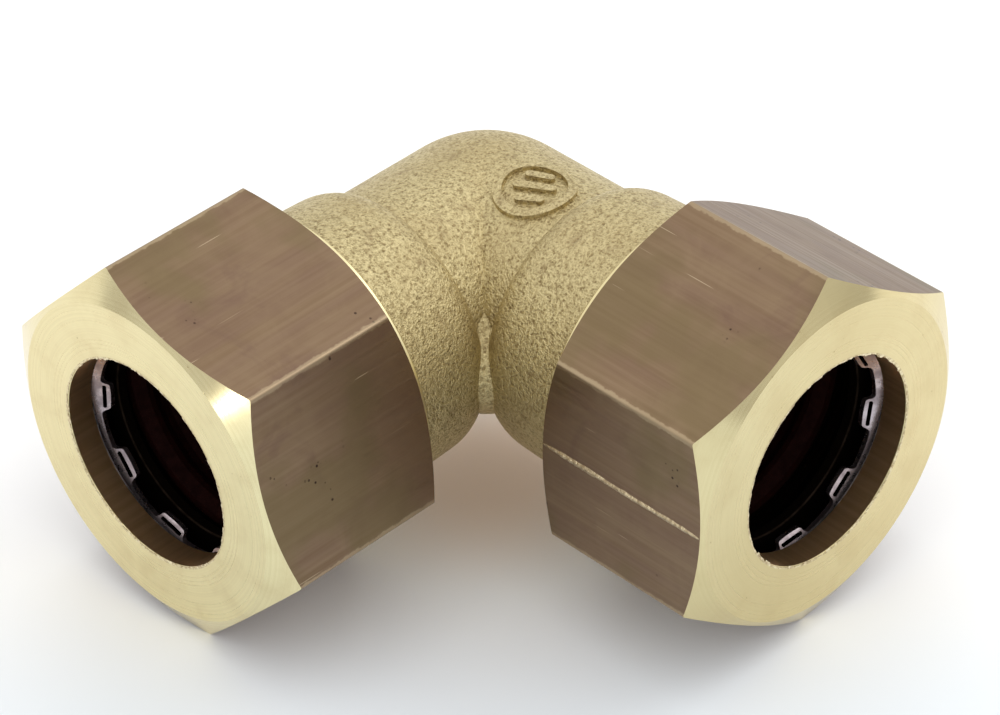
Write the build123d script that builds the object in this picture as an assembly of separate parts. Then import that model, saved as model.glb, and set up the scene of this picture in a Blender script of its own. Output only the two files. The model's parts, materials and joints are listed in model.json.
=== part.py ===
from build123d import *
import os
from math import cos, pi, radians, sin, tan

os.makedirs("parts", exist_ok=True)

# A 90 degree brass compression elbow for 15 mm class corrugated stainless pipe.
# Each end carries a loose hexagonal nut, a stainless grip ring, a stainless
# thrust washer and a silicone seal.  Lengths are in millimetres.  Positions
# along a leg are distances from the point where the two pipe axes cross.

# ---------------------------------------------------------------- forged elbow
FORGING_SHIFT = 0.3     # the forging sits this far off the machined axes, towards +X and +Y
TUBE_R = 10.93          # central bend and the ball at its corner, outside
COLLAR_START = 11.28    # foot of the collar's rounded shoulder
COLLAR_FULL = 13.9      # where the shoulder ends
COLLAR_R = 12.19        # collar radius at the shoulder
COLLAR_END_R = 12.45    # and at its machined end, the difference being draft
COLLAR_END = 20.8
WEB_THICKNESS = 2.0     # rounded web along the valley between the legs
WEB_REACH = 17.75       # how far the web reaches along the inner diagonal
WEB_HALF_HEIGHT = 8.6
WEB_DROP = 0.6          # the web's middle lies this far below the pipe axes
WEB_EDGE_R = 0.6
MACHINED_BEVEL = 0.2    # on the machined edges of each leg
RELIEF_R = 11.85        # thread relief groove beyond the collar
THREAD_START = 22.3
MOUTH = 29.9            # end face of each leg
PASSAGE_R = 7.25        # water passage
PIPE_STOP = 17.5        # shoulder that the pipe end meets
SOCKET_R = 9.4          # pipe socket
SEAT_R = 11.05          # counterbore that holds the seal
SEAT_DEPTH_AT = 26.5

# ------------------------------------------------- pipe thread, 14 turns an inch
PITCH = 1.814
FLANK = radians(27.5)
THREAD_SINK = 0.2       # how far a thread ridge reaches into the metal below its root
CREST_W = 0.30
MALE_MAJOR_R = 13.15
MALE_CORE_R = 12.05
FEMALE_MAJOR_R = 13.35
FEMALE_MINOR_R = 12.30

# ------------------------------------------------------------------------- nut
ACROSS_FLATS = 30.0
NUT_LENGTH = 17.9       # front face to the end of the hexagon
CHAMFER_R = 14.57       # radius of the flat front face
CHAMFER_ANGLE = radians(30)
HEX_EDGE_R = 0.3
RIM_R = 14.15           # turned rim behind the hexagon
RIM_LENGTH = 0.7
RIM_BEVEL = 0.15
LIP_R = 9.51            # hole that the pipe goes through
LIP_EDGE = 0.12         # broken front edge of the hole
LIP_LENGTH = 2.4        # straight wall of the hole
LIP_BACK_R = 10.2       # the hole's back edge is bevelled out to this radius
LIP_THICKNESS = 3.0
THREAD_FROM_FRONT = 6.9  # front face to the first turn of the nut's thread
RECESS_R = 13.45        # plain bore before and behind the thread
RECESS_DEPTH = 3.0      # nut's back face to the start of its thread
BAND_R = 13.7           # how far the threaded band reaches into the nut's wall

# ------------------------------------------------- grip ring, washer and seal
RING_OUTER_R = 12.0
RING_SHEET = 0.3
RING_FROM_FRONT = 3.1   # nut front face to the ring's front face
BEND_R = 10.3           # where the sheet bends back at 45 degrees
FLANGE_R = 9.82         # edge of the sloping flange between the teeth
TOOTH_COUNT = 9
TOOTH_TIP_R = 9.17
TOOTH_ROOT_DEG = 20.0
TOOTH_TIP_DEG = 16.5
TOOTH_ROOT_FILLET = 0.45
TOOTH_TIP_FILLET = 0.3
TOOTH_SLOT_W = 0.34
TOOTH_SLOT_END = 0.16   # metal left at each end of the slot
TOOTH_BAR_W = 0.36      # tooth tip to the slot's middle, measured towards the axis
RING_SPLIT_W = 1.2
RING_DROP = 1.05        # the loose ring lies this far below the pipe axis
WASHER_OUTER_R = 12.0
WASHER_INNER_R = 9.45
WASHER_T = 1.0
WASHER_FROM_FRONT = 5.25
WASHER_DROP = 0.5
SEAL_OUTER_R = 11.0
SEAL_LIP_R = 9.05       # sealing lips, a little under the pipe's radius
SEAL_WAIST_R = 9.45
SEAL_START = 26.55
SEAL_END = 31.5

# ------------------------------------------------------------ the two ends
# Local axes: Z runs out along the pipe, X is up.
RIGHT = Plane(origin=(0, 0, 0), x_dir=(0, 0, 1), z_dir=(1, 0, 0))
LEFT = Plane(origin=(0, 0, 0), x_dir=(0, 0, 1), z_dir=(0, -1, 0))
NUT_FRONT = {"left": 38.4, "right": 39.9}
NUT_TURN_DEG = {"left": 15.55, "right": -3.22}
RING_TURN_DEG = {"left": 86.7, "right": -59.6}
RING_SPLIT_GAP = {"left": 4, "right": 3}  # which gap between teeth holds the ring's split
END_PLANE = {"left": LEFT, "right": RIGHT}

# ------------------------------------------------------------- forging mark
MARK_CENTRE = (6.7, -0.6)
MARK_TURN_DEG = 28.0
MARK_HEIGHT = 0.38
MARK_RING_R = 3.6
MARK_LINE_W = 0.8
MARK_BAR_LENGTH = 3.8   # middle bar
MARK_BAR_STEP = 1.2     # how much shorter the outer two bars are
MARK_BAR_PITCH = 1.55


def turned(points):
    """Solid of revolution about Z from a closed outline of (radius, height) points."""
    outline = make_face(Plane.XZ * Polyline(*points, close=True))
    return revolve(outline, Axis.Z, 360)


def flat_ring(outer_r, inner_r, start, end, edge):
    """Ring with the given radii, its four edges bevelled by edge."""
    return turned([
        (inner_r + edge, start), (outer_r - edge, start), (outer_r, start + edge), (outer_r, end - edge),
        (outer_r - edge, end), (inner_r + edge, end), (inner_r, end - edge), (inner_r, start + edge),
    ])


def screw_ridge(root_r, crest_r, crest_width, start, turns):
    """Helical ridge with straight flanks, sunk a little below the root radius."""
    height = crest_r - root_r
    base_half = crest_width / 2 + (height + THREAD_SINK) * tan(FLANK)
    helix = Helix(pitch=PITCH, height=PITCH * turns, radius=root_r, center=(0, 0, start))
    section = Plane(origin=helix @ 0, x_dir=(1, 0, 0), z_dir=helix % 0)
    trapezoid = make_face(section * Polyline(
        (-THREAD_SINK, -base_half), (height, -crest_width / 2), (height, crest_width / 2),
        (-THREAD_SINK, base_half), close=True))
    return sweep(trapezoid, path=helix, is_frenet=True)


def leg_forging(end):
    """Forged outside of one leg: tube, rounded shoulder and collar, up to end."""
    profile = Curve() + [
        Polyline((0, 0), (TUBE_R, 0), (TUBE_R, COLLAR_START)),
        EllipticalCenterArc((TUBE_R, COLLAR_FULL), COLLAR_R - TUBE_R, COLLAR_FULL - COLLAR_START,
                            start_angle=-90, arc_size=90),
        Polyline((COLLAR_R, COLLAR_FULL), (COLLAR_END_R, end - MACHINED_BEVEL),
                 (COLLAR_END_R - MACHINED_BEVEL, end), (0, end), (0, 0)),
    ]
    return revolve(make_face(Plane.XZ * profile), Axis.Z, 360)


def leg_core():
    """Machined end of one leg: thread relief and the thread's core."""
    return turned([
        (0, COLLAR_END - 2), (RELIEF_R, COLLAR_END - 2), (RELIEF_R, THREAD_START), (MALE_CORE_R, THREAD_START),
        (MALE_CORE_R, MOUTH - MACHINED_BEVEL), (MALE_CORE_R - MACHINED_BEVEL, MOUTH), (0, MOUTH),
    ])


def leg_hollow():
    """Space inside one leg: passage, pipe socket and seal seat."""
    return turned([
        (0, 0), (PASSAGE_R, 0), (PASSAGE_R, PIPE_STOP - 0.4), (PASSAGE_R + 0.4, PIPE_STOP),
        (SOCKET_R, PIPE_STOP), (SOCKET_R, SEAT_DEPTH_AT - 0.3), (SOCKET_R + 0.6, SEAT_DEPTH_AT),
        (SEAT_R, SEAT_DEPTH_AT),
        (SEAT_R, MOUTH - 0.25), (SEAT_R + 0.25, MOUTH), (SEAT_R + 0.25, MOUTH + 1), (0, MOUTH + 1),
    ])


def male_thread():
    """External thread on a leg, bevelled at both ends."""
    turns = (MOUTH - THREAD_START) / PITCH + 2
    ridge = screw_ridge(MALE_CORE_R, MALE_MAJOR_R, CREST_W, THREAD_START - PITCH, turns)
    bevel = MALE_MAJOR_R - MALE_CORE_R
    inner = MALE_CORE_R - THREAD_SINK / 2
    envelope = turned([
        (inner, THREAD_START), (MALE_CORE_R, THREAD_START), (MALE_MAJOR_R + 0.1, THREAD_START + bevel * 0.6),
        (MALE_MAJOR_R + 0.1, MOUTH - bevel), (MALE_CORE_R - 0.05, MOUTH - 0.05), (inner, MOUTH - 0.1),
    ])
    return ridge & envelope


def valley_web():
    """Rounded web in the mitre plane that fills the inner corner between the legs."""
    mitre = Plane(origin=(0, 0, -WEB_DROP), x_dir=(1, -1, 0), z_dir=(1, 1, 0))
    plate = extrude(mitre * Ellipse(WEB_REACH, WEB_HALF_HEIGHT), WEB_THICKNESS / 2, both=True)
    plate = fillet(plate.edges(), WEB_EDGE_R)
    outer_half = Box(2 * WEB_REACH, 3 * WEB_HALF_HEIGHT, 3 * WEB_THICKNESS)
    return plate & (mitre.location * Pos(WEB_REACH, 0, 0) * outer_half)


def forging_mark():
    """Raised ring with three bars, lying on top of the tube of the +X leg."""
    ring = Circle(MARK_RING_R) - Circle(MARK_RING_R - MARK_LINE_W)
    bars = Sketch() + [
        Pos(0, place * MARK_BAR_PITCH) * SlotOverall(MARK_BAR_LENGTH - MARK_BAR_STEP * abs(place), MARK_LINE_W)
        for place in (-1, 0, 1)
    ]
    prism = extrude(Pos(*MARK_CENTRE, 0) * Rot(0, 0, MARK_TURN_DEG) * (ring + bars), 2 * TUBE_R)
    shell = Plane.YZ * Cylinder(TUBE_R + MARK_HEIGHT, 4 * TUBE_R)
    inner = Plane.YZ * Cylinder(TUBE_R - MARK_HEIGHT, 5 * TUBE_R)
    return (prism & shell) - inner


def forging():
    """Everything on the elbow's outside that the dies shaped."""
    shape = Sphere(TUBE_R)
    shape += LEFT.location * leg_forging(COLLAR_END + FORGING_SHIFT)
    shape += RIGHT.location * leg_forging(COLLAR_END - FORGING_SHIFT)
    shape += valley_web()
    shape += forging_mark()
    return Pos(FORGING_SHIFT, FORGING_SHIFT, 0) * shape


def elbow_body():
    """Forged and machined elbow with both legs, its passages and its threads."""
    outside = forging()
    for plane in END_PLANE.values():
        outside += plane.location * leg_core()
    for plane in END_PLANE.values():
        outside += plane.location * male_thread()
    hollow = Sphere(PASSAGE_R)
    for plane in END_PLANE.values():
        hollow += plane.location * leg_hollow()
    return outside - hollow


def union_nut(side):
    """Hexagonal nut with a pipe hole in its lip, a ring cavity and a thread."""
    front = NUT_FRONT[side]
    hex_back = front - NUT_LENGTH
    back = hex_back - RIM_LENGTH
    corner_r = ACROSS_FLATS / 2 / cos(pi / 6)
    prism = extrude(RegularPolygon(corner_r, 6, rotation=0), NUT_LENGTH)
    prism = fillet(prism.edges().filter_by(Axis.Z), HEX_EDGE_R)
    prism = Pos(0, 0, hex_back) * Rot(0, 0, NUT_TURN_DEG[side]) * prism
    drop = (corner_r + 1 - CHAMFER_R) * tan(CHAMFER_ANGLE)
    prism &= turned([
        (0, hex_back), (CHAMFER_R, hex_back), (corner_r + 1, hex_back + drop),
        (corner_r + 1, front - drop), (CHAMFER_R, front), (0, front),
    ])
    rim = turned([
        (0, back), (RIM_R - RIM_BEVEL, back), (RIM_R, back + RIM_BEVEL), (RIM_R, hex_back + RIM_LENGTH),
        (0, hex_back + RIM_LENGTH),
    ])
    thread_end = front - THREAD_FROM_FRONT
    thread_start = back + RECESS_DEPTH
    cavity_front = front - LIP_THICKNESS
    hollow = turned([
        (0, back - 1), (RECESS_R + 0.2, back - 1), (RECESS_R + 0.2, back), (RECESS_R, back + 0.2),
        (RECESS_R, cavity_front), (LIP_BACK_R, cavity_front), (LIP_R, front - LIP_LENGTH - LIP_EDGE),
        (LIP_R, front - LIP_EDGE), (LIP_R + LIP_EDGE, front), (LIP_R + LIP_EDGE, front + 1), (0, front + 1),
    ])
    return (prism + rim - hollow) + threaded_band(thread_start, thread_end)


def threaded_band(start, end):
    """Band of metal on the wall of a nut's bore, with the thread cut into it."""
    depth = FEMALE_MAJOR_R - FEMALE_MINOR_R
    blank = turned([(FEMALE_MINOR_R, start), (BAND_R, start), (BAND_R, end), (FEMALE_MINOR_R, end)])
    first_turn = THREAD_START
    while first_turn < start:
        first_turn += PITCH
    first_turn -= PITCH
    crest_width = PITCH - CREST_W - 2 * depth * tan(FLANK)
    turns = (end - first_turn) / PITCH + 0.7
    groove = screw_ridge(FEMALE_MINOR_R, FEMALE_MAJOR_R, crest_width, first_turn, turns)
    lead_in = turned([
        (0, start - 1), (FEMALE_MAJOR_R + 1, start - 1), (FEMALE_MINOR_R, start + depth), (0, start + depth),
    ])
    return blank - groove - lead_in


def ring_opening():
    """Open area inside a grip ring in plan: a circle less the teeth, with rounded corners."""
    tip_half = TOOTH_TIP_R * tan(radians(TOOTH_TIP_DEG / 2))
    root_half = BEND_R * tan(radians(TOOTH_ROOT_DEG / 2))
    tooth = make_face(Polyline(
        (TOOTH_TIP_R, -tip_half), (BEND_R, -root_half), (BEND_R, root_half), (TOOTH_TIP_R, tip_half),
        close=True))
    opening = Circle(FLANGE_R)
    for i in range(TOOTH_COUNT):
        opening -= Rot(0, 0, 360 / TOOTH_COUNT * i) * tooth
    middle_r = (FLANGE_R + TOOTH_TIP_R) / 2
    roots = opening.vertices().filter_by(lambda corner: corner.center().length > middle_r)
    opening = fillet(roots, TOOTH_ROOT_FILLET)
    tips = opening.vertices().filter_by(lambda corner: corner.center().length < TOOTH_TIP_R + 0.2)
    return fillet(tips, TOOTH_TIP_FILLET)


def grip_ring(side):
    """Split stainless ring with inner teeth bent back at 45 degrees, a slot in each."""
    front = NUT_FRONT[side] - RING_FROM_FRONT
    back = front - RING_SHEET
    slant = RING_SHEET / cos(pi / 4)
    end_r = TOOTH_TIP_R - 0.1
    end_front = front - (BEND_R - end_r)
    ring = turned([
        (RING_OUTER_R, back), (RING_OUTER_R, front), (BEND_R, front), (end_r, end_front),
        (end_r, end_front - slant), (BEND_R + slant - RING_SHEET, back),
    ])
    depth = front - end_front + slant
    ring -= Pos(0, 0, front - 2 * depth) * extrude(ring_opening(), 3 * depth)
    slot_r = TOOTH_TIP_R + TOOTH_BAR_W
    slot_length = 2 * (slot_r * tan(radians(TOOTH_TIP_DEG / 2)) - TOOTH_SLOT_END)
    slot = Pos(slot_r, 0, front - (BEND_R - slot_r)) * Rot(0, -45, 0) * extrude(
        Rot(0, 0, 90) * SlotOverall(slot_length, TOOTH_SLOT_W), 1, both=True)
    for i in range(TOOTH_COUNT):
        ring -= Rot(0, 0, 360 / TOOTH_COUNT * i) * slot
    split_deg = 360 / TOOTH_COUNT * (RING_SPLIT_GAP[side] + 0.5)
    split = Box(RING_OUTER_R, RING_SPLIT_W, 4 * depth)
    ring -= Rot(0, 0, split_deg) * Pos(RING_OUTER_R, 0, front) * split
    return Pos(-RING_DROP, 0, 0) * Rot(0, 0, RING_TURN_DEG[side]) * ring


def thrust_washer(side):
    """Flat stainless washer between the grip ring and the seal."""
    front = NUT_FRONT[side] - WASHER_FROM_FRONT
    return Pos(-WASHER_DROP, 0, 0) * flat_ring(WASHER_OUTER_R, WASHER_INNER_R, front - WASHER_T, front, 0.12)


def seal_ring():
    """Silicone seal with two inner lips, seated in the mouth of a leg."""
    middle = (SEAL_START + SEAL_END) / 2
    quarter = (SEAL_END - SEAL_START) / 4
    return turned([
        (SEAL_WAIST_R + 0.2, SEAL_START + 0.1), (SEAL_OUTER_R - 0.5, SEAL_START + 0.1),
        (SEAL_OUTER_R - 0.05, SEAL_START + 0.5), (SEAL_OUTER_R - 0.05, SEAL_END - 0.5),
        (SEAL_OUTER_R - 0.5, SEAL_END), (SEAL_WAIST_R + 0.2, SEAL_END), (SEAL_LIP_R, middle + quarter + 0.25),
        (SEAL_LIP_R, middle + quarter - 0.25), (SEAL_WAIST_R, middle + 0.3), (SEAL_WAIST_R, middle - 0.3),
        (SEAL_LIP_R, middle - quarter + 0.25), (SEAL_LIP_R, middle - quarter - 0.25),
    ])


pieces = {"elbow_body": elbow_body()}
for side, plane in END_PLANE.items():
    place = plane.location
    pieces[f"{side}_union_nut"] = place * union_nut(side)
    pieces[f"{side}_grip_ring"] = place * grip_ring(side)
    pieces[f"{side}_thrust_washer"] = place * thrust_washer(side)
    pieces[f"{side}_seal"] = place * seal_ring()

# The origin is the middle of the footprint, at the height the fitting rests on.
box = Compound(children=[Compound(piece.wrapped) for piece in pieces.values()]).bounding_box()
shift = Vector(-(box.min.X + box.max.X) / 2, -(box.min.Y + box.max.Y) / 2, -box.min.Z)
for name, piece in pieces.items():
    export_step(Pos(*shift) * piece, f"parts/{name}.step")
print("axes cross at", round(shift.X, 4), round(shift.Y, 4), round(shift.Z, 4))
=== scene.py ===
"""Looks of the brass compression elbow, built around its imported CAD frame.

Everything is in metres in the row frame.  A leg is described by its axis, the
point where both axes cross, and two directions across it.
"""
import json
import math
import random

import bmesh
import bpy
from mathutils import Matrix, Vector


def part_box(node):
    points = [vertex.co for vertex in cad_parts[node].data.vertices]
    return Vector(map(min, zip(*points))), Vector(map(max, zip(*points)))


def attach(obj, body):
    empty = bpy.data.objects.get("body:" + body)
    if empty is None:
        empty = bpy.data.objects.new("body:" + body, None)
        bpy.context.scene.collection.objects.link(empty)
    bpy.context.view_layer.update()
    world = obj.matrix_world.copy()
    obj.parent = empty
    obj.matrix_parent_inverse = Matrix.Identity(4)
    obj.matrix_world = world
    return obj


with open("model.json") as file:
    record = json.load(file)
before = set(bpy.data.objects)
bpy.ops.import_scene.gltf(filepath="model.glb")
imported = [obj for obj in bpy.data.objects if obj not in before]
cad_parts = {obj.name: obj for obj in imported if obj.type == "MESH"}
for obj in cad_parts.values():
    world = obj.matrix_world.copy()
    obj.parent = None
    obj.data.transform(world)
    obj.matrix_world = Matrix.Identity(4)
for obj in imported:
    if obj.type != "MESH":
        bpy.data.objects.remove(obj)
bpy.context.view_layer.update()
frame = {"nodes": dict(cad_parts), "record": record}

MM = 0.001
UP = Vector((0, 0, 1))
MOUNTS = {m["name"]: Vector(m["pos_m"]) for m in frame["record"]["mounts"]}
CROSS = Vector((MOUNTS["left_pipe_hole"].x, MOUNTS["right_pipe_hole"].y, MOUNTS["left_pipe_hole"].z))

# Sizes that the looks share with the CAD, in millimetres.
FLAT_R = 15.0            # pipe axis to the middle of a flat
HOLE_R = 9.51
COLLAR_END = 20.8

# Where one paint gives way to another, in millimetres: where its mask starts and where it is full.
# Along a leg, from the crossing unless another place is named
COLLAR_BORDER = (COLLAR_END - 0.25, COLLAR_END - 0.15)
PASSAGE_BORDER = (5, 7)
# Beyond this the leg's tip is painted nearly black as shade
LEG_TIP_SHADE_BORDER = (28.9, 29.0)
REAR_BORDER = (0.82, 0.67)        # from the nut's back end
BEHIND_LIP_BORDER = (-2.5, -2.6)  # from the nut's front face
# Out from a leg's axis
# Nearer the axis than this the elbow's passage and sockets are machined, and painted nearly black as shade
SOCKET_BORDER = (9.9, 9.8)
CORNER_BORDER = (17.27, 17.36)
CHAMFER_BORDER = (14.4, 14.6)
FLAT_BORDER = (14.8, 14.9)
BORE_BORDER = (13.6, 13.5)
# Nearer the axis than this, behind the lip, the nut is painted nearly black as shade
CAVITY_SHADE_BORDER = (13.7, 13.6)

SIDES = {
    "left": {"axis": Vector((0, -1, 0)), "side": Vector((1, 0, 0)), "body": "left_nut", "face_darkening": 0.05},
    "right": {"axis": Vector((1, 0, 0)), "side": Vector((0, -1, 0)), "body": "right_nut", "face_darkening": 0.6},
}
for name, leg in SIDES.items():
    low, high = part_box(f"{name}_union_nut")
    ends = [(corner - CROSS).dot(leg["axis"]) for corner in (low, high)]
    leg["front"] = max(ends)
    leg["back"] = min(ends)


# ------------------------------------------------------------------- materials
class Paint:
    """A node material with a principled shader, and short ways to add nodes to it."""

    def __init__(self, name, metallic):
        self.material = bpy.data.materials.new(name)
        self.material.use_nodes = True
        self.tree = self.material.node_tree
        self.tree.nodes.clear()
        output = self.node("ShaderNodeOutputMaterial")
        self.shader = self.node("ShaderNodeBsdfPrincipled")
        self.tree.links.new(self.shader.outputs[0], output.inputs["Surface"])
        self.shader.inputs["Metallic"].default_value = metallic
        self.place = self.node("ShaderNodeTexCoord").outputs["Object"]
        self.normal = self.node("ShaderNodeTexCoord").outputs["Normal"]

    def node(self, kind, inputs=(), **settings):
        made = self.tree.nodes.new(kind)
        for key, value in settings.items():
            setattr(made, key, value)
        for key, value in dict(inputs).items():
            self.feed(made.inputs[key], value)
        return made

    def feed(self, socket, value):
        if isinstance(value, bpy.types.NodeSocket):
            self.tree.links.new(value, socket)
        else:
            socket.default_value = value

    def math(self, operation, first, second=0.0):
        made = self.node("ShaderNodeMath", operation=operation)
        self.feed(made.inputs[0], first)
        self.feed(made.inputs[1], second)
        return made.outputs[0]

    def vector(self, operation, first, second=(0, 0, 0)):
        made = self.node("ShaderNodeVectorMath", operation=operation)
        self.feed(made.inputs[0], first)
        self.feed(made.inputs[1], second)
        scalar = operation in ("DOT_PRODUCT", "LENGTH")
        return made.outputs["Value" if scalar else "Vector"]

    def step(self, value, low, high, out_low=0.0, out_high=1.0):
        """Maps low..high to out_low..out_high smoothly, clamped."""
        made = self.node("ShaderNodeMapRange", interpolation_type="SMOOTHSTEP")
        for key, number in zip(("Value", "From Min", "From Max", "To Min", "To Max"),
                               (value, low, high, out_low, out_high)):
            self.feed(made.inputs[key], number)
        return made.outputs["Result"]

    def border(self, distance, span, origin=0.0):
        """Mask that fills up between the two distances of span, in millimetres from origin."""
        start, full = span
        return self.step(distance, origin + start * MM, origin + full * MM)

    def mix(self, factor, first, second):
        """Blend of two colours.  The node has a set of sockets for each data type, so they go by number."""
        made = self.node("ShaderNodeMix", data_type="RGBA")
        self.feed(made.inputs[0], factor)
        self.feed(made.inputs[6], first)
        self.feed(made.inputs[7], second)
        return made.outputs[2]

    def blend(self, factor, first, second):
        """Blend of two numbers, by the same node's other sockets."""
        made = self.node("ShaderNodeMix", data_type="FLOAT")
        self.feed(made.inputs[0], factor)
        self.feed(made.inputs[2], first)
        self.feed(made.inputs[3], second)
        return made.outputs[0]

    def stretched(self, per_metre, turn=(0, 0, 0)):
        """Object coordinates times a frequency for each axis, turned first."""
        made = self.node("ShaderNodeMapping", {
            "Vector": self.place, "Scale": per_metre, "Rotation": turn})
        return made.outputs["Vector"]

    def noise(self, scale, detail, rough=0.5, vector=None, distortion=0.0):
        made = self.node("ShaderNodeTexNoise", {
            "Vector": vector or self.place, "Scale": scale, "Detail": detail, "Roughness": rough,
            "Distortion": distortion})
        return made.outputs["Fac"]

    def cells(self, scale):
        made = self.node("ShaderNodeTexVoronoi", {"Vector": self.place, "Scale": scale})
        return made.outputs["Distance"]

    def bump(self, height, distance, strength):
        made = self.node("ShaderNodeBump", {"Height": height, "Distance": distance, "Strength": strength})
        return made.outputs["Normal"]

    def finish(self, tone, roughness, normal=None):
        self.feed(self.shader.inputs["Base Color"], tone)
        self.feed(self.shader.inputs["Roughness"], roughness)
        if normal is not None:
            self.feed(self.shader.inputs["Normal"], normal)
        return self.material


def colour(red, green, blue):
    return (red, green, blue, 1.0)


def leg_places(paint, leg):
    """Sockets for distance along a leg and distance from its axis."""
    from_cross = paint.vector("SUBTRACT", paint.place, tuple(CROSS))
    along = paint.vector("DOT_PRODUCT", from_cross, tuple(leg["axis"]))
    height = paint.vector("DOT_PRODUCT", from_cross, tuple(UP))
    sideways = paint.vector("DOT_PRODUCT", from_cross, tuple(leg["side"]))
    height_squared = paint.math("MULTIPLY", height, height)
    sideways_squared = paint.math("MULTIPLY", sideways, sideways)
    return along, paint.math("SQRT", paint.math("ADD", height_squared, sideways_squared))


def along_leg(leg, lengthwise, crosswise):
    """Frequency for each axis that draws a pattern out along the leg."""
    return tuple(lengthwise if abs(part) > 0.5 else crosswise for part in leg["axis"])


def elbow_masks(paint):
    """Masks of the elbow's machined metal, and of the part of it painted nearly black as shade: the passage,
    the sockets and the leg tips.
    """
    machined = 0.0
    painted_shade = 0.0
    for leg in SIDES.values():
        along, radius = leg_places(paint, leg)
        beyond = paint.border(along, COLLAR_BORDER)
        near_axis = paint.border(radius, SOCKET_BORDER)
        inside = paint.math("MULTIPLY", near_axis, paint.border(along, PASSAGE_BORDER))
        machined = paint.math("MAXIMUM", machined, paint.math("MAXIMUM", beyond, inside))
        # Painted shade: the passage, the sockets and the leg tips are coloured nearly black
        shaded_part = paint.math("MAXIMUM", inside, paint.border(along, LEG_TIP_SHADE_BORDER))
        painted_shade = paint.math("MAXIMUM", painted_shade, shaded_part)
    return machined, painted_shade


def blasted_brass():
    """Elbow: coarse sand-blasted grain outside, smooth turned threads, and sockets and leg ends painted
    nearly black as shade.
    """
    paint = Paint("blasted_brass", metallic=1.0)
    coarse = paint.noise(2700, 3.0, 0.62)
    fine = paint.noise(6400, 2.0, 0.6)
    pits = paint.step(paint.cells(2300), 0.10, 0.42)
    clouds = paint.noise(160, 3.0, 0.55)
    stains = paint.noise(420, 4.0, 0.6)
    machined, painted_shade = elbow_masks(paint)
    grain = paint.math("ADD", paint.math("MULTIPLY", coarse, 0.6), paint.math("MULTIPLY", fine, 0.4))
    grain = paint.math("MULTIPLY", grain, paint.step(pits, 0.0, 1.0, 0.78, 1.0))
    tone = paint.mix(paint.step(grain, 0.30, 0.60), colour(0.27, 0.20, 0.092), colour(0.64, 0.54, 0.295))
    tone = paint.mix(paint.step(clouds, 0.35, 0.7, 0.0, 0.3), tone, colour(0.42, 0.315, 0.15))
    tone = paint.mix(paint.step(stains, 0.55, 0.75, 0.0, 0.45), tone, colour(0.27, 0.19, 0.095))
    mottle = paint.step(paint.noise(900, 3.0), 0.3, 0.7)
    turned = paint.mix(mottle, colour(0.62, 0.49, 0.24), colour(0.72, 0.59, 0.32))
    # Painted shade: the nearly black colour of the passage, sockets and leg tips
    dark = paint.mix(mottle, colour(0.030, 0.016, 0.009), colour(0.055, 0.032, 0.018))
    turned = paint.mix(painted_shade, turned, dark)
    rough = paint.blend(machined, paint.step(grain, 0.3, 0.7, 0.55, 0.36), 0.28)
    height = paint.math("MULTIPLY", grain, paint.math("SUBTRACT", 1.0, machined))
    return paint.finish(paint.mix(machined, tone, turned), rough, paint.bump(height, 0.3 * MM, 0.9))


def scratches(paint, scale, turn, share):
    """Short straight scratches: one long thin mark in a small share of stretched cells."""
    made = paint.node("ShaderNodeTexVoronoi", {"Vector": paint.stretched(scale, turn), "Scale": 1.0})
    mark = paint.step(made.outputs["Distance"], 0.30, 0.18)
    lot = paint.vector("DOT_PRODUCT", made.outputs["Color"], (1, 0, 0))
    return paint.math("MULTIPLY", mark, paint.step(lot, 1 - share, 1.002 - share))


def tarnished_flats(paint, leg, along, radius, streaks):
    """Colour of the drawn flats, and the masks of their nicks and pits."""
    bands = paint.noise(1.0, 3.0, 0.55, paint.stretched(along_leg(leg, 18, 420)))
    blotches = paint.noise(230, 4.0, 0.6, distortion=0.6)
    smudges = paint.noise(130, 5.0, 0.62, distortion=1.2)
    greenish = paint.noise(85, 3.0, 0.6)
    streaking = paint.step(streaks, 0.30, 0.70)
    tone = paint.mix(streaking, colour(0.212, 0.140, 0.083), colour(0.246, 0.168, 0.104))
    tone = paint.mix(paint.step(bands, 0.38, 0.66, 0.0, 0.45), tone, colour(0.178, 0.108, 0.078))
    tone = paint.mix(paint.step(blotches, 0.42, 0.72, 0.0, 0.5), tone, colour(0.255, 0.178, 0.108))
    tone = paint.mix(paint.step(smudges, 0.54, 0.72, 0.0, 0.45), tone, colour(0.158, 0.094, 0.070))
    tone = paint.mix(paint.step(greenish, 0.47, 0.62, 0.0, 0.6), tone, colour(0.180, 0.134, 0.066))

    # Dark pits in a few areas, and pale scratches
    pit_area = paint.step(paint.noise(150, 3.0, 0.6), 0.60, 0.66)
    pits = paint.math("MULTIPLY", paint.step(paint.cells(1500), 0.24, 0.12), pit_area)
    tone = paint.mix(pits, tone, colour(0.05, 0.03, 0.022))
    slanted = scratches(paint, (300, 300, 5200), (0.5, 0.6, 0.0), 0.018)
    drawn = scratches(paint, along_leg(leg, 170, 6500), (0, 0, 0), 0.02)
    nicks = paint.math("MAXIMUM", slanted, drawn)
    tone = paint.mix(paint.math("MULTIPLY", nicks, 0.45), tone, colour(0.60, 0.48, 0.32))

    # Edges between flats, and the flats' back ends, are worn bright
    edge_noise = paint.noise(900, 4.0, 0.65)
    worn = paint.math("ADD", radius, paint.math("MULTIPLY", edge_noise, 0.30 * MM))
    edge = paint.border(worn, CORNER_BORDER)
    rear = paint.math("ADD", along, paint.math("MULTIPLY", edge_noise, -0.35 * MM))
    rear_edge = paint.border(rear, REAR_BORDER, leg["back"])
    tone = paint.mix(paint.math("MULTIPLY", edge, 0.45), tone, colour(0.52, 0.41, 0.26))
    tone = paint.mix(paint.math("MULTIPLY", rear_edge, 0.8), tone, colour(0.66, 0.56, 0.38))
    return tone, nicks, pits


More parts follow.
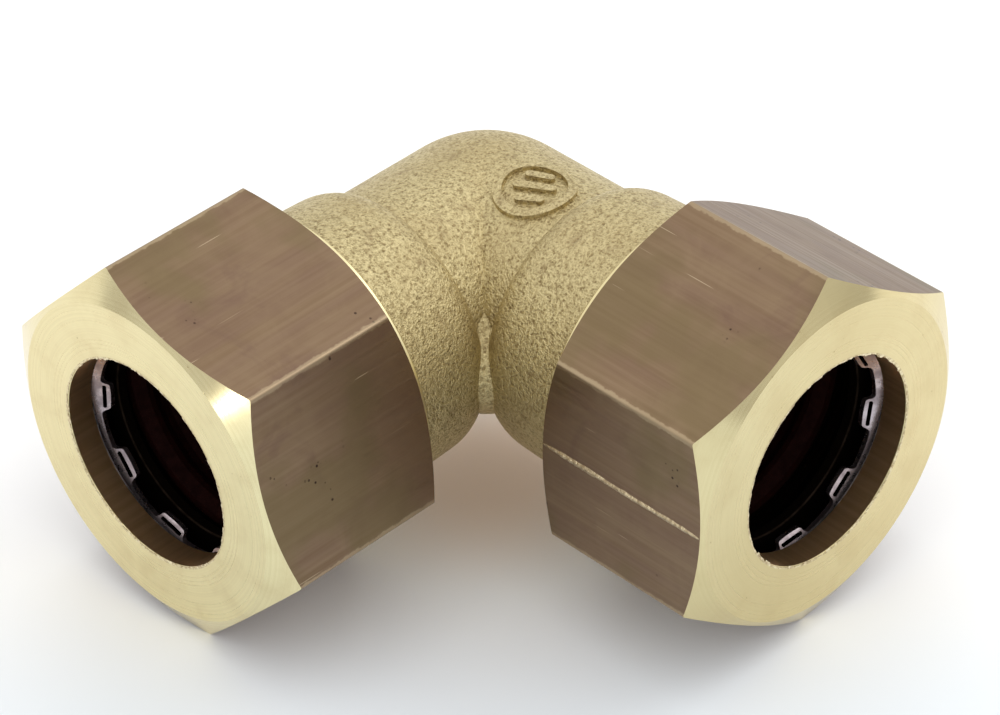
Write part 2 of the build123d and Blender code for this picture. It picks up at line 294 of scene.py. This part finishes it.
def turned_faces(paint, leg, radius):
    """Colour of the turned faces and chamfers, their turning rings and the mask of their specks."""
    ring_vector = paint.node("ShaderNodeCombineXYZ", {"X": radius}).outputs[0]
    rings = paint.noise(5200, 2.0, 0.5, ring_vector)
    speck_area = paint.step(paint.noise(520, 2.0), 0.55, 0.66)
    specks = paint.math("MULTIPLY", paint.step(paint.cells(1100), 0.12, 0.05), speck_area)
    stains = paint.step(paint.noise(260, 4.0, 0.6), 0.42, 0.72, 0.0, 0.35)
    # Blotchy darkening of the turned faces, as strong as the side's setting: far more on the right nut than
    # on the left
    face_darkening = paint.step(paint.noise(60, 2.0), 0.3, 0.7, 0.5 * leg["face_darkening"], leg["face_darkening"])
    tone = paint.mix(paint.step(rings, 0.35, 0.65), colour(0.74, 0.65, 0.375), colour(0.80, 0.71, 0.42))
    tone = paint.mix(stains, tone, colour(0.58, 0.46, 0.24))
    tone = paint.mix(face_darkening, tone, colour(0.55, 0.44, 0.215))
    tone = paint.mix(paint.math("MULTIPLY", specks, 0.7), tone, colour(0.32, 0.23, 0.10))
    return tone, rings, specks


def drawn_brass(name):
    """Nut: tarnished drawn flats, bright turned faces and chamfers, coppery bore, and a cavity painted nearly
    black as shade.
    """
    leg = SIDES[name]
    paint = Paint(f"drawn_brass_{name}", metallic=1.0)
    along, radius = leg_places(paint, leg)
    tilt = paint.math("ABSOLUTE", paint.vector("DOT_PRODUCT", paint.normal, tuple(leg["axis"])))
    streaks = paint.noise(1.0, 4.0, 0.6, paint.stretched(along_leg(leg, 55, 2600)))
    flats, nicks, pits = tarnished_flats(paint, leg, along, radius, streaks)
    faces, rings, specks = turned_faces(paint, leg, radius)
    bore = paint.mix(paint.step(streaks, 0.3, 0.7), colour(0.80, 0.51, 0.25), colour(0.92, 0.61, 0.32))
    # Painted shade: the nearly black colour of the cavity behind the lip
    dark = paint.mix(streaks, colour(0.035, 0.020, 0.011), colour(0.060, 0.036, 0.020))

    # Masks, each going by how far from the axis a face lies and how it tilts to the axis
    flat = paint.math("MULTIPLY", paint.step(tilt, 0.35, 0.2), paint.border(radius, FLAT_BORDER))
    chamfer = paint.math("MULTIPLY", paint.step(tilt, 0.97, 0.93), paint.border(radius, CHAMFER_BORDER))
    in_bore = paint.math("MULTIPLY", paint.border(radius, BORE_BORDER), paint.step(tilt, 0.6, 0.5))
    behind_lip = paint.border(along, BEHIND_LIP_BORDER, leg["front"])
    # The cavity behind the lip is painted nearly black as shade
    cavity = paint.math("MULTIPLY", paint.border(radius, CAVITY_SHADE_BORDER), behind_lip)

    tone = paint.mix(flat, faces, flats)
    tone = paint.mix(in_bore, tone, bore)
    tone = paint.mix(cavity, tone, dark)
    face_rough = paint.blend(chamfer, paint.step(rings, 0.3, 0.7, 0.26, 0.36), 0.15)
    rough = paint.blend(flat, face_rough, paint.step(streaks, 0.3, 0.7, 0.46, 0.36))
    rough = paint.blend(in_bore, rough, 0.34)
    raised = paint.math("MULTIPLY", streaks, 0.6)
    scratched = paint.math("MULTIPLY", nicks, -0.8)
    flat_height = paint.math("SUBTRACT", paint.math("ADD", raised, scratched), pits)
    turning = paint.math("MULTIPLY", rings, 0.3)
    face_height = paint.math("ADD", turning, paint.math("MULTIPLY", specks, -0.6))
    relief = paint.blend(flat, face_height, flat_height)
    return paint.finish(tone, rough, paint.bump(relief, 0.02 * MM, 0.45))


def scraped_brass(name, dull, bright):
    """Fresher metal of burrs and raised scratches."""
    paint = Paint(name, metallic=1.0)
    grit = paint.noise(3200, 4.0, 0.65)
    tone = paint.mix(paint.step(grit, 0.35, 0.62), dull, bright)
    return paint.finish(tone, paint.step(grit, 0.3, 0.7, 0.42, 0.24), paint.bump(grit, 0.06 * MM, 0.7))


def ring_steel():
    """Pressed stainless steel of the grip rings."""
    paint = Paint("ring_steel", metallic=1.0)
    smear = paint.noise(700, 4.0, 0.6)
    tone = paint.mix(paint.step(smear, 0.35, 0.7), colour(0.31, 0.255, 0.265), colour(0.56, 0.485, 0.50))
    relief = paint.bump(paint.noise(2500, 2.0), 0.02 * MM, 0.5)
    return paint.finish(tone, paint.step(smear, 0.3, 0.7, 0.36, 0.22), relief)


def washer_steel():
    """Dull steel of the washers, painted nearly black as the shade inside the nuts."""
    paint = Paint("washer_steel", metallic=1.0)
    smear = paint.noise(900, 4.0, 0.6)
    tone = paint.mix(paint.step(smear, 0.3, 0.7), colour(0.007, 0.0045, 0.003), colour(0.015, 0.010, 0.007))
    return paint.finish(tone, paint.step(smear, 0.3, 0.7, 0.62, 0.48), paint.bump(smear, 0.02 * MM, 0.5))


def seal_silicone():
    """Red-brown silicone, painted nearly black as the shade inside the nuts, with a faint moulded texture."""
    paint = Paint("seal_silicone", metallic=0.0)
    paint.shader.inputs["Specular IOR Level"].default_value = 0.05
    bloom = paint.noise(1200, 4.0, 0.6)
    tone = paint.mix(paint.step(bloom, 0.3, 0.7), colour(0.006, 0.0008, 0.0006), colour(0.011, 0.0016, 0.001))
    relief = paint.bump(paint.noise(5200, 2.0), 0.03 * MM, 0.5)
    return paint.finish(tone, paint.step(bloom, 0.3, 0.7, 0.8, 0.65), relief)


def coat(node, material):
    """Gives a CAD node one material."""
    slots = frame["nodes"][node].data.materials
    slots.clear()
    slots.append(material)


coat("elbow_body", blasted_brass())
steel = ring_steel()
washer = washer_steel()
silicone = seal_silicone()
for name in SIDES:
    coat(f"{name}_union_nut", drawn_brass(name))
    coat(f"{name}_grip_ring", steel)
    coat(f"{name}_thrust_washer", washer)
    coat(f"{name}_seal", silicone)


# --------------------------------------------------------- burrs and scratches
def leg_point(leg, along, radius, degrees):
    """Point in the row frame from a leg's own round coordinates, degrees from up towards side."""
    turn = math.radians(degrees)
    return CROSS + leg["axis"] * along + (UP * math.cos(turn) + leg["side"] * math.sin(turn)) * radius


def strip_mesh(name, rows, closed_ring):
    """Solid strip through rows of points, each row being one closed cross-section."""
    mesh = bpy.data.meshes.new(name)
    shape = bmesh.new()
    grid = [[shape.verts.new(point) for point in row] for row in rows]
    pairs = list(zip(grid, grid[1:]))
    if closed_ring:
        pairs.append((grid[-1], grid[0]))
    for first, second in pairs:
        for i in range(len(first)):
            j = (i + 1) % len(first)
            shape.faces.new((first[i], first[j], second[j], second[i]))
    if not closed_ring:
        shape.faces.new(list(reversed(grid[0])))
        shape.faces.new(grid[-1])
    bmesh.ops.recalc_face_normals(shape, faces=shape.faces)
    shape.to_mesh(mesh)
    shape.free()
    piece = bpy.data.objects.new(name, mesh)
    bpy.context.scene.collection.objects.link(piece)
    return piece


BURR_STEPS = 900
NEW_TOOTH_CHANCE = 0.10  # of a burr's step starting a new tooth
RIDGE_STEPS = 150


def lip_burr(name, leg, material, seed):
    """Ragged burr left by the turning tool round the hole's front edge; its teeth are in millimetres."""
    chance = random.Random(seed)
    ragged = []
    tooth = 0.0
    for _ in range(BURR_STEPS):
        if chance.random() < NEW_TOOTH_CHANCE:
            tooth = chance.uniform(0.04, 0.19)
        tooth = max(0.0, tooth + chance.uniform(-0.03, 0.02))
        ragged.append(0.02 + tooth)
    rows = []
    front = leg["front"]
    for i, reach in enumerate(ragged):
        degrees = 360 * i / BURR_STEPS
        rows.append([
            leg_point(leg, front + 0.012 * MM, (HOLE_R + 0.20) * MM, degrees),
            leg_point(leg, front - (0.01 + reach * 0.2) * MM, (HOLE_R + 0.10 - reach) * MM, degrees),
            leg_point(leg, front - 0.13 * MM, (HOLE_R + 0.06) * MM, degrees),
        ])
    piece = strip_mesh(f"{name}_lip_burr", rows, closed_ring=True)
    piece.data.materials.append(material)
    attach(piece, leg["body"])


def scored_ridge(name, leg, material, seed, degrees, width, height):
    """Raised scratch that runs the length of a flat; width and height are in millimetres."""
    chance = random.Random(seed)
    start = leg["back"] + 1.0 * MM
    length = leg["front"] - 0.35 * MM - start
    middle = math.radians(degrees)
    outward = UP * math.cos(middle) + leg["side"] * math.sin(middle)
    across = leg["side"] * math.cos(middle) - UP * math.sin(middle)
    sway = 0.0
    swell = 0.0
    rows = []
    for i in range(RIDGE_STEPS + 1):
        share = i / RIDGE_STEPS
        taper = min(1.0, 8 * share, 12 * (1 - share)) ** 0.5
        sway = 0.9 * sway + chance.uniform(-0.012, 0.012)
        swell = 0.85 * swell + chance.uniform(-0.06, 0.06)
        half = width / 2 * (0.9 + swell + 0.1 * chance.random()) * (0.3 + 0.7 * taper)
        high = height * (0.85 + swell + 0.2 * chance.random()) * taper
        on_axis = CROSS + leg["axis"] * (start + length * share)
        base = on_axis + outward * (FLAT_R - 0.03) * MM + across * sway * MM
        rows.append([
            base - across * half * MM,
            base - across * half * 0.25 * MM + outward * (high + 0.03) * MM,
            base + across * half * 0.35 * MM + outward * (high * 0.7 + 0.03) * MM,
            base + across * half * MM,
        ])
    piece = strip_mesh(name, rows, closed_ring=False)
    piece.data.materials.append(material)
    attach(piece, leg["body"])


burr_metal = scraped_brass("burr_brass", colour(0.38, 0.28, 0.15), colour(0.80, 0.71, 0.48))
ridge_metal = scraped_brass("ridge_brass", colour(0.38, 0.29, 0.175), colour(0.62, 0.515, 0.33))
lip_burr("left", SIDES["left"], burr_metal, seed=3)
lip_burr("right", SIDES["right"], burr_metal, seed=8)
scored_ridge("right_nut_scored_ridge", SIDES["right"], ridge_metal,
             seed=5, degrees=86.78, width=0.62, height=0.12)


# ------------------------------------------------------------- floor and light
def floor_plane():
    """Point below the crossing, and normal, of the plane that touches the lowest edge of each nut."""
    touches = []
    for name, leg in SIDES.items():
        low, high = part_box(f"{name}_union_nut")
        middle = (low + high) / 2
        touches.append(Vector((middle.x, middle.y, low.z)))
    span = touches[1] - touches[0]
    tangent = Vector((span.x, span.y, 0)).normalized()
    sideways = UP.cross(tangent)
    normal = span.cross(sideways).normalized()
    if normal.z < 0:
        normal = -normal
    drop = (CROSS - touches[0]).dot(normal) / normal.z
    return CROSS - UP * drop, normal


FLOOR_HALF_WIDTH = 3.0
TOWARDS_CAMERA = (0.72, -0.69, 0.0)
# Centre of the warm painted shadow on the floor between the nuts
BETWEEN_NUTS = (0.006, -0.006, 0.0)  # on the floor, from the point below the crossing


def make_floor():
    """Pale floor, painted a little darker and cooler towards the camera where the light falls off, and with a
    warm painted shadow, as if lit by light bounced off the brass, between the nuts.
    """
    point, normal = floor_plane()
    mesh = bpy.data.meshes.new("floor")
    shape = bmesh.new()
    bmesh.ops.create_grid(shape, x_segments=2, y_segments=2, size=FLOOR_HALF_WIDTH)
    shape.to_mesh(mesh)
    shape.free()
    floor = bpy.data.objects.new("floor", mesh)
    bpy.context.scene.collection.objects.link(floor)
    tilt = UP.rotation_difference(normal).to_matrix().to_4x4()
    floor.matrix_world = Matrix.Translation(point) @ tilt
    paint = Paint("floor_paint", metallic=0.0)
    nearness = paint.vector("DOT_PRODUCT", paint.place, TOWARDS_CAMERA)
    # Painted shade: the floor goes darker and cooler towards the camera
    tone = paint.mix(paint.step(nearness, 0.020, 0.046), colour(0.93, 0.93, 0.93), colour(0.80, 0.85, 0.895))
    # Painted shadow, warmed as by light bounced off the brass, on the floor between the nuts
    between = paint.vector("LENGTH", paint.vector("SUBTRACT", paint.place, BETWEEN_NUTS))
    tone = paint.mix(paint.step(between, 0.017, 0.003), tone, colour(0.88, 0.72, 0.61))
    mesh.materials.append(paint.finish(tone, paint.step(paint.noise(90, 2.0), 0.3, 0.7, 0.5, 0.6)))


def area_light(name, place, size, watts):
    """Round white lamp that faces the crossing of the axes."""
    data = bpy.data.lights.new(name, "AREA")
    data.shape = "DISK"
    data.size = size
    data.energy = watts
    lamp = bpy.data.objects.new(name, data)
    lamp.location = place
    lamp.rotation_euler = (CROSS - Vector(place)).to_track_quat("-Z", "Y").to_euler()
    bpy.context.scene.collection.objects.link(lamp)


HORIZON_STRENGTH = 0.64
OVERHEAD_STRENGTH = 1.26
FULL_STRENGTH_RISE = 0.5  # height of the direction, as a sine, from which the dome is at full strength


def make_light():
    """White studio dome, dimmer near the horizon, a soft lamp high behind and a small one low in front."""
    world = bpy.data.worlds.new("studio")
    world.use_nodes = True
    tree = world.node_tree
    background = tree.nodes["Background"]
    direction = tree.nodes.new("ShaderNodeTexCoord")
    split = tree.nodes.new("ShaderNodeSeparateXYZ")
    rise = tree.nodes.new("ShaderNodeMapRange")
    rise.interpolation_type = "SMOOTHSTEP"
    for key, value in (("From Min", 0.0), ("From Max", FULL_STRENGTH_RISE),
                       ("To Min", HORIZON_STRENGTH), ("To Max", OVERHEAD_STRENGTH)):
        rise.inputs[key].default_value = value
    tree.links.new(direction.outputs["Generated"], split.inputs[0])
    tree.links.new(split.outputs["Z"], rise.inputs["Value"])
    tree.links.new(rise.outputs["Result"], background.inputs["Strength"])
    background.inputs["Color"].default_value = (1.0, 1.0, 1.0, 1.0)
    bpy.context.scene.world = world
    area_light("behind", (0.16, 0.36, 0.42), size=0.30, watts=0.4)
    area_light("low_left", (0.0, -0.42, 0.05), size=0.03, watts=0.04)


# --------------------------------------------------------------------- camera
# Measured viewing direction and distance, relative to the crossing of the axes.
AZIMUTH = math.radians(46.263)
ELEVATION = math.radians(38.222)
ROLL = math.radians(-1.68)
CAMERA_SHIFT = (1.309 * MM, -8.66 * MM)
CAMERA_DISTANCE = 367.54 * MM
LENS = 154.03
SENSOR = 36.0


def make_camera():
    """Camera at the photo's angle, aimed at the crossing, shifted across and rolled a little."""
    back = Vector((math.sin(AZIMUTH) * math.cos(ELEVATION), -math.cos(AZIMUTH) * math.cos(ELEVATION),
                   math.sin(ELEVATION)))
    right = Vector((math.cos(AZIMUTH), math.sin(AZIMUTH), 0))
    upward = back.cross(right)
    place = CROSS + right * CAMERA_SHIFT[0] + upward * CAMERA_SHIFT[1] + back * CAMERA_DISTANCE
    rolled_right = right * math.cos(ROLL) + upward * math.sin(ROLL)
    rolled_up = upward * math.cos(ROLL) - right * math.sin(ROLL)
    turn = Matrix((rolled_right, rolled_up, back)).transposed().to_4x4()
    data = bpy.data.cameras.new("camera")
    data.lens = LENS
    data.sensor_width = SENSOR
    data.clip_start = 0.01
    data.clip_end = 20
    camera = bpy.data.objects.new("camera", data)
    camera.matrix_world = Matrix.Translation(place) @ turn
    bpy.context.scene.collection.objects.link(camera)
    bpy.context.scene.camera = camera


make_floor()
make_light()
make_camera()
bpy.context.scene.view_settings.view_transform = "Standard"
